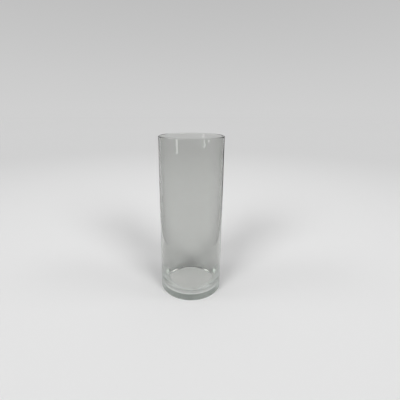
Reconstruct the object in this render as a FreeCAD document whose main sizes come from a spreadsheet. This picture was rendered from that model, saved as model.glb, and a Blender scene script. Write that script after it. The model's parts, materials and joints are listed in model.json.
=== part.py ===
# A tall clear-glass cylinder vase, 150 mm across and 380 mm high.
#
# The glass has three zones, each a body of its own here: a heavy base with a small heel, a shallow push-up
# underneath and a foot where the glass thickens towards the floor, a straight tubular wall, and a
# fire-polished rim with a fully rounded edge. They meet face to face on flat rings. Millimetres, +Z up,
# origin at the centre of the plane that the vase stands on.

import FreeCAD
import Part
import Sketcher
import math
import os

OUTPUT_FOLDER = "parts"
SHEET_NAME = "Dimensions"

# Alias, value in millimetres, meaning.
DRIVING_DIMENSIONS = [
    ("vase_height", 380.0, "standing plane to the top of the rim"),
    ("outer_diameter", 150.0, "outside of the glass, the same from heel to rim"),
    ("wall_thickness", 3.75, "glass thickness of the tube"),
    ("floor_thickness", 9.5, "standing plane to the inner floor"),
    ("floor_round_radius", 9.0, "round at the edge of the inner floor"),
    ("foot_thickening", 18.0, "inside of the wall to the edge of the flat inner floor"),
    ("foot_height", 52.0, "inner floor to the level where the wall is straight"),
    ("heel_radius", 3.5, "round between the standing ring and the outside"),
    ("push_up_depth", 2.2, "height of the hollow underside at its centre"),
    ("push_up_diameter", 118.0, "inner edge of the flat standing ring"),
    ("rim_zone_height", 4.0, "height of the fire-polished zone"),
]
# Alias, formula over the cells above it, meaning.
DERIVED_DIMENSIONS = [
    ("outer_radius", "=outer_diameter / 2", "outside of the glass"),
    ("inner_radius", "=outer_radius - wall_thickness", "inside of the wall"),
    ("push_up_radius", "=push_up_diameter / 2", "inner edge of the flat standing ring"),
    ("floor_radius", "=inner_radius - foot_thickening", "edge of the flat inner floor"),
    ("base_height", "=floor_thickness + foot_height", "where the wall begins"),
    ("wall_top", "=vase_height - rim_zone_height", "where the rim zone begins"),
    ("wall_height", "=wall_top - base_height", "length of the tube"),
    ("lip_radius", "=wall_thickness / 2", "round of the rim's edge"),
]

START = 1
END = 2
CENTRE = 3
ORIGIN = (-1, 1)
HORIZONTAL_AXIS = -1
VERTICAL_AXIS = -2


def make_sheet(doc):
    """The spreadsheet that every size is bound to."""
    sheet = doc.addObject("Spreadsheet::Sheet", SHEET_NAME)
    for row, (alias, value, meaning) in enumerate(DRIVING_DIMENSIONS + DERIVED_DIMENSIONS, start=1):
        sheet.set(f"A{row}", alias)
        sheet.set(f"B{row}", str(value))
        sheet.setAlias(f"B{row}", alias)
        sheet.set(f"C{row}", meaning)
    doc.recompute()
    return sheet


def make_body(doc, label):
    """An empty body whose label names its part."""
    body = doc.addObject("PartDesign::Body", label)
    body.Label = label
    return body


def make_sketch(body, role, name):
    """A sketch on one of the body's own origin planes."""
    sketch = body.newObject("Sketcher::SketchObject", name)
    plane = next(feature for feature in body.Origin.OriginFeatures if feature.Role == role)
    sketch.AttachmentSupport = [(plane, "")]
    sketch.MapMode = "FlatFace"
    return sketch


def add_line(sketch, start, end):
    """A straight edge between two (across, up) points."""
    return sketch.addGeometry(Part.LineSegment(FreeCAD.Vector(*start), FreeCAD.Vector(*end)))


def add_arc(sketch, centre, radius, first_angle, last_angle):
    """A counter-clockwise arc between two angles in degrees."""
    circle = Part.Circle(FreeCAD.Vector(*centre), FreeCAD.Vector(0, 0, 1), radius)
    return sketch.addGeometry(Part.ArcOfCircle(circle, math.radians(first_angle), math.radians(last_angle)))


def constrain(sketch, kind, *where):
    """A geometric constraint, such as Coincident, Tangent or Horizontal."""
    sketch.addConstraint(Sketcher.Constraint(kind, *where))


def measure(sketch, sheet, alias, kind, *where):
    """A dimension that takes its value from the sheet."""
    index = sketch.addConstraint(Sketcher.Constraint(kind, *where, getattr(sheet, alias)))
    sketch.setExpression(f"Constraints[{index}]", f"{SHEET_NAME}.{alias}")


def revolve(body, sketch, name):
    """One full turn of a profile about the vase's own axis."""
    turn = body.newObject("PartDesign::Revolution", name)
    turn.Profile = sketch
    turn.ReferenceAxis = (sketch, ["V_Axis"])
    turn.Angle = 360.0


def make_base(doc, sheet):
    """The base: push-up, standing ring, heel, floor, and the foot that sweeps up to the wall's inside."""
    body = make_body(doc, "heavy_base")
    sketch = make_sketch(body, "XZ_Plane", "BaseProfile")

    ring = sheet.push_up_radius
    rise = sheet.push_up_depth
    outer = sheet.outer_radius
    inner = sheet.inner_radius
    heel = sheet.heel_radius
    edge = sheet.floor_radius
    floor = sheet.floor_thickness
    top = sheet.base_height
    small = sheet.floor_round_radius
    width = sheet.foot_thickening
    height = sheet.foot_height
    dome_radius = (ring**2 + rise**2) / (2 * rise)
    dome_angle = math.degrees(math.asin(ring / dome_radius))
    # The one arc that leaves the wall straight down and runs smoothly into the small round.
    large = (width**2 + height**2 - 2 * height * small) / (2 * (width - small))
    turn = math.degrees(math.asin((height - small) / (large - small)))

    push_up = add_arc(sketch, (0, rise - dome_radius), dome_radius, 90 - dome_angle, 90)
    standing_ring = add_line(sketch, (ring, 0), (outer - heel, 0))
    heel_round = add_arc(sketch, (outer - heel, heel), heel, -90, 0)
    outside = add_line(sketch, (outer, heel), (outer, top))
    joint_face = add_line(sketch, (outer, top), (inner, top))
    foot_sweep = add_arc(sketch, (inner - large, top), large, -turn, 0)
    floor_round = add_arc(sketch, (edge, floor + small), small, -90, -turn)
    inner_floor = add_line(sketch, (edge, floor), (0, floor))
    middle = add_line(sketch, (0, floor), (0, rise))

    constrain(sketch, "Coincident", push_up, START, standing_ring, START)
    constrain(sketch, "Tangent", standing_ring, END, heel_round, START)
    constrain(sketch, "Tangent", heel_round, END, outside, START)
    constrain(sketch, "Coincident", outside, END, joint_face, START)
    constrain(sketch, "Coincident", joint_face, END, foot_sweep, END)
    constrain(sketch, "Tangent", foot_sweep, START, floor_round, END)
    constrain(sketch, "Tangent", floor_round, START, inner_floor, START)
    constrain(sketch, "Coincident", inner_floor, END, middle, START)
    constrain(sketch, "Coincident", middle, END, push_up, END)

    constrain(sketch, "Horizontal", standing_ring)
    constrain(sketch, "Vertical", outside)
    constrain(sketch, "Horizontal", joint_face)
    constrain(sketch, "Horizontal", foot_sweep, END, foot_sweep, CENTRE)
    constrain(sketch, "Horizontal", inner_floor)
    constrain(sketch, "PointOnObject", standing_ring, START, HORIZONTAL_AXIS)
    constrain(sketch, "PointOnObject", push_up, CENTRE, VERTICAL_AXIS)
    constrain(sketch, "PointOnObject", middle, START, VERTICAL_AXIS)
    constrain(sketch, "PointOnObject", middle, END, VERTICAL_AXIS)

    measure(sketch, sheet, "heel_radius", "Radius", heel_round)
    measure(sketch, sheet, "floor_round_radius", "Radius", floor_round)
    measure(sketch, sheet, "push_up_radius", "DistanceX", *ORIGIN, standing_ring, START)
    measure(sketch, sheet, "outer_radius", "DistanceX", *ORIGIN, outside, END)
    measure(sketch, sheet, "inner_radius", "DistanceX", *ORIGIN, joint_face, END)
    measure(sketch, sheet, "floor_radius", "DistanceX", *ORIGIN, inner_floor, START)
    measure(sketch, sheet, "push_up_depth", "DistanceY", *ORIGIN, middle, END)
    measure(sketch, sheet, "floor_thickness", "DistanceY", *ORIGIN, middle, START)
    measure(sketch, sheet, "base_height", "DistanceY", *ORIGIN, joint_face, END)

    revolve(body, sketch, "BaseTurn")
    return body


def make_wall(doc, sheet):
    """The tube between the base and the rim."""
    body = make_body(doc, "cylinder_wall")
    sketch = make_sketch(body, "XY_Plane", "WallSection")
    sketch.setExpression("AttachmentOffset.Base.z", f"{SHEET_NAME}.base_height")

    for radius_alias in ("outer_radius", "inner_radius"):
        circle = Part.Circle(FreeCAD.Vector(0, 0), FreeCAD.Vector(0, 0, 1), getattr(sheet, radius_alias))
        ring = sketch.addGeometry(circle)
        constrain(sketch, "Coincident", ring, CENTRE, *ORIGIN)
        measure(sketch, sheet, radius_alias, "Radius", ring)

    tube = body.newObject("PartDesign::Pad", "WallTube")
    tube.Profile = sketch
    tube.setExpression("Length", f"{SHEET_NAME}.wall_height")
    return body


def make_rim(doc, sheet):
    """The fire-polished rim: a short ring that ends in a full half round."""
    body = make_body(doc, "fire_polished_rim")
    sketch = make_sketch(body, "XZ_Plane", "RimProfile")

    outer = sheet.outer_radius
    inner = sheet.inner_radius
    lip = sheet.lip_radius
    bottom = sheet.wall_top
    round_start = sheet.vase_height - lip

    joint_face = add_line(sketch, (inner, bottom), (outer, bottom))
    outside = add_line(sketch, (outer, bottom), (outer, round_start))
    lip_round = add_arc(sketch, (inner + lip, round_start), lip, 0, 180)
    inside = add_line(sketch, (inner, round_start), (inner, bottom))

    constrain(sketch, "Coincident", joint_face, END, outside, START)
    constrain(sketch, "Tangent", outside, END, lip_round, START)
    constrain(sketch, "Tangent", lip_round, END, inside, START)
    constrain(sketch, "Coincident", inside, END, joint_face, START)

    constrain(sketch, "Horizontal", joint_face)
    constrain(sketch, "Vertical", outside)
    constrain(sketch, "Vertical", inside)

    measure(sketch, sheet, "inner_radius", "DistanceX", *ORIGIN, joint_face, START)
    measure(sketch, sheet, "outer_radius", "DistanceX", *ORIGIN, joint_face, END)
    measure(sketch, sheet, "wall_top", "DistanceY", *ORIGIN, joint_face, START)
    crown = sketch.addConstraint(Sketcher.Constraint("DistanceY", *ORIGIN, lip_round, CENTRE, round_start))
    sketch.setExpression(f"Constraints[{crown}]", f"{SHEET_NAME}.vase_height - {SHEET_NAME}.lip_radius")

    revolve(body, sketch, "RimTurn")
    return body


def check(doc, bodies):
    """Stops before anything is written if an object failed, or a shape isn't one valid solid."""
    for item in doc.Objects:
        if "Invalid" in item.State or "Error" in item.State:
            raise RuntimeError(f"{item.Name} failed: {item.State}")
    for body in bodies:
        shape = body.Shape
        if shape.isNull() or not shape.isValid() or len(shape.Solids) != 1:
            raise RuntimeError(f"{body.Label} isn't one valid solid")
    for first, second in zip(bodies, bodies[1:]):
        if first.Shape.common(second.Shape).Volume > 0.001:
            raise RuntimeError(f"{first.Label} overlaps {second.Label}")


def write(bodies):
    """Writes each body to a STEP file of its own name."""
    os.makedirs(OUTPUT_FOLDER, exist_ok=True)
    for body in bodies:
        body.Shape.exportStep(os.path.join(OUTPUT_FOLDER, f"{body.Label}.step"))
        box = body.Shape.optimalBoundingBox()
        print(f"{body.Label}: {body.Shape.Volume:.0f} mm3, {box.XLength:.2f} x {box.YLength:.2f} mm,")
        print(f"    from z {box.ZMin:.2f} to {box.ZMax:.2f} mm")


def main():
    doc = FreeCAD.newDocument("cylinder_vase")
    sheet = make_sheet(doc)
    bodies = [make_base(doc, sheet), make_wall(doc, sheet), make_rim(doc, sheet)]
    doc.recompute()
    check(doc, bodies)
    write(bodies)


main()
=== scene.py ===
import json
import math

import bpy
import numpy as np
from mathutils import Euler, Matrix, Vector


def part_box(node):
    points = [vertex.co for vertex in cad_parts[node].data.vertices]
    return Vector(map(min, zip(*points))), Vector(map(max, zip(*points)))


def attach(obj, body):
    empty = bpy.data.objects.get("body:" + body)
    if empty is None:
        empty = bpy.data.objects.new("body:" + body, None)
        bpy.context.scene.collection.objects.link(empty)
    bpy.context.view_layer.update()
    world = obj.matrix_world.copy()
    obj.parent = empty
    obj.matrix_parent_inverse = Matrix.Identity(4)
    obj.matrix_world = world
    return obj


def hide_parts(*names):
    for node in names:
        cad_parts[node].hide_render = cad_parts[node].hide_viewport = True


# A clear-glass cylinder vase on a pale studio floor. The CAD frame gives every size of the vase; the visible
# glass is one closed, thick-walled mesh, because real glass has no faces inside it where its zones meet.
# Metres and degrees throughout, +Z up, the camera towards -Y.

MM = 0.001

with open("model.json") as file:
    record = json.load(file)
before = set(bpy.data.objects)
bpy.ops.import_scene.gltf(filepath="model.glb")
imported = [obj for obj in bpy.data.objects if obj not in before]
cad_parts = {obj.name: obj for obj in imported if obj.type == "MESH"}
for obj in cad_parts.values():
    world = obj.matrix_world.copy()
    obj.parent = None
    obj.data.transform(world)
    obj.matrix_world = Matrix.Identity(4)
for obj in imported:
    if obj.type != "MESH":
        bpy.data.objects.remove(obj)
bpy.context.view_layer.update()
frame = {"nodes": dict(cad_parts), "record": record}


# ---------------------------------------------------------------- sizes, all read from the frame

LEVEL = 0.9999            # the rise of a face's normal from which the face counts as level
LEAST_AREA = MM**2        # smaller level faces aren't the floor
TOUCHING = 0.001 * MM     # heights this close are the same
CLEAR_OF_WALL = 0.05 * MM
ON_AXIS = 0.1 * MM
ROUND_REACH = 5 * MM      # most of the floor's round lies below this height over the floor


def from_axis(vertex):
    return math.hypot(vertex.co.x, vertex.co.y)


def cad_sizes():
    """The vase's driving sizes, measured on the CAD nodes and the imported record."""
    base_mesh = frame["nodes"]["heavy_base"].data
    bore = next(mount for mount in frame["record"]["mounts"] if mount["name"] == "mouth_bore")
    inner = bore["dims"]["r_mm"] * MM
    base_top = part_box("heavy_base")[1].z
    floor = min(f.center.z for f in base_mesh.polygons if f.normal.z > LEVEL and f.area > LEAST_AREA)

    cavity = [(from_axis(v), v.co.z) for v in base_mesh.vertices if from_axis(v) < inner - CLEAR_OF_WALL]
    floor_edge = max(radius for radius, z in cavity if abs(z - floor) < TOUCHING)
    sweep = [
        ((inner - radius) ** 2 + (base_top - z) ** 2) / (2 * (inner - radius))
        for radius, z in cavity if z > floor + ROUND_REACH
    ]
    large = float(np.median(sweep))
    width = inner - floor_edge
    height = base_top - floor
    standing = [from_axis(v) for v in base_mesh.vertices if v.co.z < TOUCHING]
    return {
        "outer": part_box("cylinder_wall")[1].x,
        "inner": inner,
        "height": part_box("fire_polished_rim")[1].z,
        "base_top": base_top,
        "floor": floor,
        "floor_edge": floor_edge,
        "foot_large": large,
        "foot_small": (width**2 + height**2 - 2 * large * width) / (2 * (height - large)),
        "push_up": min(v.co.z for v in base_mesh.vertices if from_axis(v) < ON_AXIS),
        "ring_inner": min(standing),
        "ring_outer": max(standing),
    }


SIZE = cad_sizes()


# ---------------------------------------------------------------- the glass

SEGMENTS = 256            # around the vase
WALL_RINGS = 72           # up each side of the wall
ROUND_STEPS = 14          # along each quarter round
SWEEP_STEPS = 28          # along the foot's long inner sweep
WAVE_SEED = 38
WAVES = 14                # blown-glass waves summed on the inside
WAVE_LOBES = (2, 15)      # the range of bumps around the vase in one wave
WAVE_DRIFT = (-5.0, 5.0)  # how a wave turns with height, in radians per metre
WAVE_SWELL = (2.0, 14.0)  # how it comes and goes with height, in radians per metre
WAVE_DEPTH = 0.16 * MM
WALL_MARGIN = 0.01 * MM   # points this close to the inner radius are on the inside
WAVE_FADE_LOW = 30 * MM   # the waves grow over this height above the foot
WAVE_FADE_HIGH = 12 * MM  # and die away over this height below the rim


def line(start, end, steps):
    """Points from start up to but not including end, closer together at both ends."""
    t = (1 - np.cos(np.linspace(0, math.pi, steps + 1)[:-1])) / 2
    return np.array(start) + t[:, None] * (np.array(end) - np.array(start))


def arc(centre, radius, first, last, steps):
    """Points on an arc from the first angle up to but not including the last, in degrees."""
    angles = np.radians(np.linspace(first, last, steps + 1)[:-1])
    return np.column_stack([centre[0] + radius * np.cos(angles), centre[1] + radius * np.sin(angles)])


def glass_profile():
    """The closed section of the glass as (radius, height) points, from underneath to the floor."""
    s = SIZE
    heel = s["outer"] - s["ring_outer"]
    lip = (s["outer"] - s["inner"]) / 2
    lip_height = s["height"] - lip
    dome_radius = (s["ring_inner"] ** 2 + s["push_up"] ** 2) / (2 * s["push_up"])
    dome_edge = math.degrees(math.asin(s["ring_inner"] / dome_radius))
    large = s["foot_large"]
    small = s["foot_small"]
    turn = math.degrees(math.asin((s["base_top"] - s["floor"] - small) / (large - small)))
    return np.vstack([
        arc((0, s["push_up"] - dome_radius), dome_radius, 90, 90 - dome_edge, ROUND_STEPS),
        line((s["ring_inner"], 0), (s["ring_outer"], 0), ROUND_STEPS),
        arc((s["ring_outer"], heel), heel, -90, 0, ROUND_STEPS),
        line((s["outer"], heel), (s["outer"], lip_height), WALL_RINGS),
        arc((s["inner"] + lip, lip_height), lip, 0, 180, 2 * ROUND_STEPS),
        line((s["inner"], lip_height), (s["inner"], s["base_top"]), WALL_RINGS),
        arc((s["inner"] - large, s["base_top"]), large, 0, -turn, SWEEP_STEPS),
        arc((s["floor_edge"], s["floor"] + small), small, -turn, -90, ROUND_STEPS),
        line((s["floor_edge"], s["floor"]), (0, s["floor"]), ROUND_STEPS),
        [(0, s["floor"])],
    ])


def inner_waves(angle, height):
    """How far the blown inside strays from round: long vertical draw lines that drift a little."""
    rng = np.random.default_rng(WAVE_SEED)
    total = np.zeros(np.broadcast(angle, height).shape)
    for _ in range(WAVES):
        lobes = rng.integers(*WAVE_LOBES)
        drift = rng.uniform(*WAVE_DRIFT)
        swell = rng.uniform(*WAVE_SWELL)
        phase, swell_phase = rng.uniform(0, 2 * math.pi, 2)
        total += np.cos(lobes * angle + drift * height + phase) * np.cos(swell * height + swell_phase)
    return total * WAVE_DEPTH / math.sqrt(WAVES)


def waviness(angle, height, radius):
    """The offset of each ring: nothing on the outside, the blown waves on the inside of the wall."""
    s = SIZE
    inside = (radius < s["inner"] + WALL_MARGIN) & (height > s["base_top"])
    rise = np.clip((height - s["base_top"]) / WAVE_FADE_LOW, 0, 1)
    fall = np.clip((s["height"] - height) / WAVE_FADE_HIGH, 0, 1)
    return np.where(inside, rise * fall * (inner_waves(angle, height) - WAVE_DEPTH), 0.0)


def revolved_mesh(name, profile, offset):
    """A closed surface of revolution whose first and last profile points lie on the axis."""
    rings = profile[1:-1]
    angles = np.linspace(0, 2 * math.pi, SEGMENTS, endpoint=False)
    radius = rings[:, :1] + offset(angles[None, :], rings[:, 1:], rings[:, :1])
    points = np.stack([
        radius * np.cos(angles),
        radius * np.sin(angles),
        np.broadcast_to(rings[:, 1:], radius.shape),
    ], axis=-1).reshape(-1, 3)
    count = len(rings)
    first_pole = len(points)
    last_pole = first_pole + 1
    points = np.vstack([points, (0, 0, profile[0][1]), (0, 0, profile[-1][1])])

    faces = []
    for column in range(SEGMENTS):
        after = (column + 1) % SEGMENTS
        faces.append((first_pole, after, column))
        for ring in range(count - 1):
            low = ring * SEGMENTS
            high = low + SEGMENTS
            faces.append((low + column, low + after, high + after, high + column))
        last = (count - 1) * SEGMENTS
        faces.append((last + column, last + after, last_pole))
    mesh = bpy.data.meshes.new(name)
    mesh.from_pydata(points.tolist(), [], faces)
    mesh.validate()
    mesh.polygons.foreach_set("use_smooth", [True] * len(mesh.polygons))
    mesh.update()
    return mesh


def make_vase():
    mesh = revolved_mesh("vase_glass", glass_profile(), waviness)
    vase = bpy.data.objects.new("vase_glass", mesh)
    bpy.context.scene.collection.objects.link(vase)
    mesh.materials.append(glass_material())
    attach(vase, "root")
    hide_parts("heavy_base", "cylinder_wall", "fire_polished_rim")


# ---------------------------------------------------------------- the glass's material

GLASS_IOR = 1.52
GLASS_TINT = (0.772, 0.777, 0.764, 1)
ABSORB_COLOUR = (0.78, 0.83, 0.80, 1)
ABSORB_DENSITY = 10.0             # per metre
DRAW_SCALE = (42.0, 42.0, 2.2)    # draw lines, narrow around the vase and long up it
DRAW_DETAIL = 2.0
DRAW_DEPTH = 0.02 * MM
FILM_SCALE = 26.0                 # patches of the faint film that handling leaves
FILM_DETAIL = 3.0
FILM_START = 0.45                 # the noise value where the film begins, and the one where it is thickest
FILM_FULL = 0.75
FILM_ROUGHNESS = 0.014


def draw_line_bump(nodes, links, coordinates, shader):
    """Fine vertical draw lines in the surface."""
    stretch = nodes.new("ShaderNodeVectorMath")
    stretch.operation = "MULTIPLY"
    stretch.inputs[1].default_value = DRAW_SCALE
    draw_lines = nodes.new("ShaderNodeTexNoise")
    draw_lines.inputs["Scale"].default_value = 1.0
    draw_lines.inputs["Detail"].default_value = DRAW_DETAIL
    bump = nodes.new("ShaderNodeBump")
    bump.inputs["Strength"].default_value = 1.0
    bump.inputs["Distance"].default_value = DRAW_DEPTH
    links.new(coordinates.outputs["Object"], stretch.inputs[0])
    links.new(stretch.outputs["Vector"], draw_lines.inputs["Vector"])
    links.new(draw_lines.outputs["Fac"], bump.inputs["Height"])
    links.new(bump.outputs["Normal"], shader.inputs["Normal"])


def film_roughness(nodes, links, coordinates, shader):
    """A faint uneven film on otherwise polished glass."""
    film = nodes.new("ShaderNodeTexNoise")
    film.inputs["Scale"].default_value = FILM_SCALE
    film.inputs["Detail"].default_value = FILM_DETAIL
    film_range = nodes.new("ShaderNodeMapRange")
    film_range.inputs["From Min"].default_value = FILM_START
    film_range.inputs["From Max"].default_value = FILM_FULL
    film_range.inputs["To Min"].default_value = 0.0
    film_range.inputs["To Max"].default_value = FILM_ROUGHNESS
    links.new(coordinates.outputs["Object"], film.inputs["Vector"])
    links.new(film.outputs["Fac"], film_range.inputs["Value"])
    links.new(film_range.outputs["Result"], shader.inputs["Roughness"])


def glass_material():
    """Clear soda glass, slightly grey-green through its thickness."""
    material = bpy.data.materials.new("clear_glass")
    material.use_nodes = True
    nodes = material.node_tree.nodes
    links = material.node_tree.links
    shader = nodes["Principled BSDF"]
    shader.inputs["Base Color"].default_value = GLASS_TINT
    shader.inputs["Transmission Weight"].default_value = 1.0
    shader.inputs["IOR"].default_value = GLASS_IOR
    coordinates = nodes.new("ShaderNodeTexCoord")
    draw_line_bump(nodes, links, coordinates, shader)
    film_roughness(nodes, links, coordinates, shader)

    volume = nodes.new("ShaderNodeVolumeAbsorption")
    volume.inputs["Color"].default_value = ABSORB_COLOUR
    volume.inputs["Density"].default_value = ABSORB_DENSITY
    links.new(volume.outputs["Volume"], nodes["Material Output"].inputs["Volume"])
    return material


# ---------------------------------------------------------------- studio floor and sky

FLOOR_RADIUS = 14.0
FLOOR_CORNERS = 64
FLOOR_DROP = 0.15 * MM    # the stage lies this far under the standing ring, so that the two never coincide
# The paper is painted lighter near the vase and darker far off: a painted fall-off of light.
FLOOR_NEAR = (0.79, 0.79, 0.79, 1)
FLOOR_FAR = (0.64, 0.64, 0.64, 1)
FADE = (0.10, 2.6)        # the painted fall-off of light, from the near paper's colour to the far paper's, as distances from the vase
MERGE = (3.0, 13.0)       # and from paper to the sky's horizon behind it
POOL_GLOW = 0.60          # a painted pool of light: glow painted into the paper under the vase, which brightens the glass base
POOL = (0.0635, 0.0785)   # the radii where its glow starts to fall and where it ends
SKY = [                   # the sine of the height above the horizon, and the brightness there
    (0.0, 0.628),
    (0.10, 0.60),
    (0.35, 0.51),
    (0.60, 0.42),
    (1.0, 0.27),
]


def eased(nodes, links, value, start_end, first, last, curve="SMOOTHSTEP"):
    """A node output that eases from first to last while value runs from start to end."""
    node = nodes.new("ShaderNodeMapRange")
    node.interpolation_type = curve
    node.inputs["From Min"].default_value = start_end[0]
    node.inputs["From Max"].default_value = start_end[1]
    node.inputs["To Min"].default_value = first
    node.inputs["To Max"].default_value = last
    links.new(value, node.inputs["Value"])
    return node.outputs["Result"]


def floor_material():
    """Pale paper with a painted pool of light glowing under the vase, painted darker away from the vase as a
    painted fall-off of light; far away it merges into the sky's horizon.
    """
    material = bpy.data.materials.new("studio_paper")
    material.use_nodes = True
    nodes = material.node_tree.nodes
    links = material.node_tree.links
    shader = nodes["Principled BSDF"]
    shader.inputs["Roughness"].default_value = 1.0
    shader.inputs["Specular IOR Level"].default_value = 0.0
    shader.inputs["Emission Color"].default_value = (1, 1, 1, 1)
    coordinates = nodes.new("ShaderNodeTexCoord")
    length = nodes.new("ShaderNodeVectorMath")
    length.operation = "LENGTH"
    links.new(coordinates.outputs["Object"], length.inputs[0])
    distance = length.outputs["Value"]

    # The painted pool of light: the paper glows under the vase, though it is no lamp.
    glow = eased(nodes, links, distance, POOL, POOL_GLOW, 0.0, "SMOOTHERSTEP")
    links.new(glow, shader.inputs["Emission Strength"])
    # Painted fall-off of light: the paper's colour darkens away from the vase.
    paper = nodes.new("ShaderNodeMix")
    paper.data_type = "RGBA"
    near, far = [socket for socket in paper.inputs if socket.type == "RGBA"]
    near.default_value = FLOOR_NEAR
    far.default_value = FLOOR_FAR
    links.new(eased(nodes, links, distance, FADE, 0.0, 1.0), paper.inputs["Factor"])
    links.new(next(s for s in paper.outputs if s.type == "RGBA"), shader.inputs["Base Color"])

    haze = nodes.new("ShaderNodeEmission")
    haze.inputs["Strength"].default_value = SKY[0][1]
    merge = nodes.new("ShaderNodeMixShader")
    links.new(eased(nodes, links, distance, MERGE, 0.0, 1.0), merge.inputs[0])
    links.new(shader.outputs["BSDF"], merge.inputs[1])
    links.new(haze.outputs["Emission"], merge.inputs[2])
    links.new(merge.outputs["Shader"], nodes["Material Output"].inputs["Surface"])
    return material


def make_floor():
    mesh = bpy.data.meshes.new("studio_floor")
    angles = np.linspace(0, 2 * math.pi, FLOOR_CORNERS, endpoint=False)
    rim = [(FLOOR_RADIUS * math.cos(a), FLOOR_RADIUS * math.sin(a), -FLOOR_DROP) for a in angles]
    mesh.from_pydata(rim, [], [tuple(range(len(rim)))])
    floor = bpy.data.objects.new("studio_floor", mesh)
    bpy.context.scene.collection.objects.link(floor)
    mesh.materials.append(floor_material())


def make_world():
    """A soft sky, brightest at the horizon."""
    world = bpy.data.worlds.new("studio_sky")
    bpy.context.scene.world = world
    world.use_nodes = True
    nodes = world.node_tree.nodes
    links = world.node_tree.links
    coordinates = nodes.new("ShaderNodeTexCoord")
    split = nodes.new("ShaderNodeSeparateXYZ")
    ramp = nodes.new("ShaderNodeValToRGB")
    ramp.color_ramp.elements.remove(ramp.color_ramp.elements[1])
    for index, (height, brightness) in enumerate(SKY):
        stop = ramp.color_ramp.elements[0] if index == 0 else ramp.color_ramp.elements.new(height)
        stop.position = height
        stop.color = (brightness, brightness, brightness, 1)
    links.new(coordinates.outputs["Generated"], split.inputs[0])
    links.new(split.outputs["Z"], ramp.inputs["Fac"])
    links.new(ramp.outputs["Color"], nodes["Background"].inputs["Color"])


# ---------------------------------------------------------------- lights
# Azimuths are seen from above: 0 is towards the camera, positive to its right.

FAR_LIGHTS = {            # azimuth, height above the horizon, apparent width, strength
    "left_key": (-36, 31, 26, 1.47),
    "right_key": (36, 31, 26, 1.38),
    "left_side": (-84, 42, 20, 0.30),
    "right_side": (84, 44, 20, 0.30),
}
PANEL_DISTANCE = 3.0
PANELS = {                # azimuth, height above the horizon, width, height, brightness, seen through glass
    "left_panel": (-36, 36, 1.4, 1.3, 2.3, True),
    "right_panel": (36, 36, 1.4, 1.3, 2.1, True),
    "left_side_panel": (-105, 52, 1.1, 1.1, 3.0, True),
    "right_side_panel": (107, 51, 1.2, 1.1, 2.6, True),
}
STRIP_DISTANCE = 1.3
STRIPS = {                # azimuth, lower edge, upper edge, width, power, seen through glass
    "left_strip": (-49, 0.15, 0.75, 0.14, 0.9, True),
    "right_strip": (43, 0.19, 0.65, 0.12, 0.65, False),
    "right_card": (59, 0.225, 0.675, 0.12, 0.7, False),
}
FLAG_SIDE = 0.3           # the flags stand this far to each side of the vase's axis
FLAG_FRONT = -0.25        # and reach from this far on the camera's side of it
FLAG_BACK = 1.0           # to this far behind it
FLAG_HEIGHT = 0.55
FLAG_SOFT = 0.30          # the part of a flag's length and height over which its edge fades out
FLAG_COLOUR = (0.04, 0.04, 0.04, 1)


def direction(azimuth, elevation):
    """The unit vector from the vase towards an azimuth and a height above the horizon."""
    turn = math.radians(azimuth)
    rise = math.radians(elevation)
    return Vector((math.sin(turn) * math.cos(rise), -math.cos(turn) * math.cos(rise), math.sin(rise)))


def make_far_light(name, azimuth, elevation, width, strength):
    """A large soft light far away, which lights the floor evenly and never shows in the glass."""
    light = bpy.data.lights.new(name, "SUN")
    light.energy = strength
    light.angle = math.radians(width)
    lamp = bpy.data.objects.new(name, light)
    lamp.rotation_euler = direction(azimuth, elevation).to_track_quat("Z", "Y").to_euler()
    lamp.visible_glossy = False
    lamp.visible_transmission = False
    bpy.context.scene.collection.objects.link(lamp)


def make_panel(name, azimuth, elevation, width, tall, brightness, through_glass):
    """The lit face of a soft box, which shows only in the glass."""
    light = bpy.data.lights.new(name, "AREA")
    light.shape = "RECTANGLE"
    light.size = width
    light.size_y = tall
    light.energy = brightness * math.pi * width * tall
    lamp = bpy.data.objects.new(name, light)
    away = direction(azimuth, elevation)
    lamp.location = PANEL_DISTANCE * away
    lamp.rotation_euler = away.to_track_quat("Z", "Y").to_euler()
    lamp.visible_camera = False
    lamp.visible_diffuse = False
    lamp.visible_transmission = through_glass
    bpy.context.scene.collection.objects.link(lamp)


def make_strip(name, azimuth, low, high, width, power, through_glass):
    """An upright strip light that faces the vase and shows only as a gleam in the glass."""
    light = bpy.data.lights.new(name, "AREA")
    light.shape = "RECTANGLE"
    light.size = width
    light.size_y = high - low
    light.energy = power
    lamp = bpy.data.objects.new(name, light)
    turn = math.radians(azimuth)
    lamp.location = (STRIP_DISTANCE * math.sin(turn), -STRIP_DISTANCE * math.cos(turn), (low + high) / 2)
    lamp.rotation_euler = Euler((math.radians(90), 0, turn))
    lamp.visible_camera = False
    lamp.visible_diffuse = False
    lamp.visible_transmission = through_glass
    bpy.context.scene.collection.objects.link(lamp)


def flag_material(name):
    """A dark card whose front and top edges fade out."""
    material = bpy.data.materials.new(name)
    material.use_nodes = True
    nodes = material.node_tree.nodes
    links = material.node_tree.links
    dark = nodes.new("ShaderNodeEmission")
    dark.inputs["Color"].default_value = FLAG_COLOUR
    clear = nodes.new("ShaderNodeBsdfTransparent")
    coordinates = nodes.new("ShaderNodeTexCoord")
    split = nodes.new("ShaderNodeSeparateXYZ")
    links.new(coordinates.outputs["Generated"], split.inputs[0])
    along = eased(nodes, links, split.outputs["Y"], (0.0, FLAG_SOFT), 0.0, 1.0)
    upwards = eased(nodes, links, split.outputs["Z"], (1.0 - FLAG_SOFT, 1.0), 1.0, 0.0)
    both = nodes.new("ShaderNodeMath")
    both.operation = "MULTIPLY"
    links.new(along, both.inputs[0])
    links.new(upwards, both.inputs[1])
    card = nodes.new("ShaderNodeMixShader")
    links.new(both.outputs["Value"], card.inputs[0])
    links.new(clear.outputs["BSDF"], card.inputs[1])
    links.new(dark.outputs["Emission"], card.inputs[2])
    links.new(card.outputs["Shader"], nodes["Material Output"].inputs["Surface"])
    return material


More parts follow.
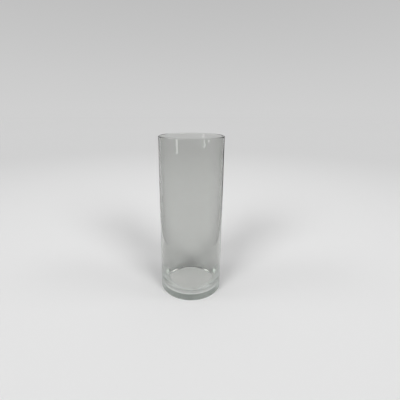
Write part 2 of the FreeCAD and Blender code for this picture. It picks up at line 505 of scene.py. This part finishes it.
def make_flag(name, side):
    """A dark card beside the vase that shows only in the glass's reflections, and shapes its sides."""
    x = side * FLAG_SIDE
    corners = [
        (x, FLAG_FRONT, 0.0),
        (x, FLAG_BACK, 0.0),
        (x, FLAG_BACK, FLAG_HEIGHT),
        (x, FLAG_FRONT, FLAG_HEIGHT),
    ]
    mesh = bpy.data.meshes.new(name)
    mesh.from_pydata(corners, [], [(0, 1, 2, 3)])
    mesh.materials.append(flag_material(name))
    flag = bpy.data.objects.new(name, mesh)
    bpy.context.scene.collection.objects.link(flag)
    flag.visible_camera = False
    flag.visible_diffuse = False
    flag.visible_transmission = False
    flag.visible_volume_scatter = False
    flag.visible_shadow = False


def make_lights():
    for name, values in FAR_LIGHTS.items():
        make_far_light(name, *values)
    for name, values in PANELS.items():
        make_panel(name, *values)
    for name, values in STRIPS.items():
        make_strip(name, *values)
    make_flag("left_flag", -1)
    make_flag("right_flag", 1)


# ---------------------------------------------------------------- camera

CAMERA_DISTANCE = 0.6288  # from the vase's axis
CAMERA_HEIGHT = 0.4392
CAMERA_PITCH = 15.18      # downwards
CAMERA_ROLL = 0.23
CLIP_START = 0.01
SENSOR = 36.0             # the sensor and the lens are in millimetres, as Blender takes them
LENS = 24.74
SHIFT = (0.0219, -0.0427)


def make_camera():
    data = bpy.data.cameras.new("camera")
    data.sensor_width = SENSOR
    data.lens = LENS
    data.shift_x, data.shift_y = SHIFT
    data.clip_start = CLIP_START
    camera = bpy.data.objects.new("camera", data)
    camera.location = (0, -CAMERA_DISTANCE, CAMERA_HEIGHT)
    turn = Euler((math.radians(90 - CAMERA_PITCH), 0, 0)).to_matrix()
    roll = Euler((0, 0, math.radians(CAMERA_ROLL))).to_matrix()
    camera.rotation_euler = (turn @ roll).to_euler()
    bpy.context.scene.collection.objects.link(camera)
    bpy.context.scene.camera = camera


# ---------------------------------------------------------------- build

MAX_BOUNCES = 24          # light crosses many glass faces on its way through the base
GLOSSY_BOUNCES = 12


make_camera()
make_world()
make_floor()
make_lights()
make_vase()

scene = bpy.context.scene
scene.view_settings.view_transform = "Standard"
scene.cycles.max_bounces = MAX_BOUNCES
scene.cycles.transmission_bounces = MAX_BOUNCES
scene.cycles.glossy_bounces = GLOSSY_BOUNCES
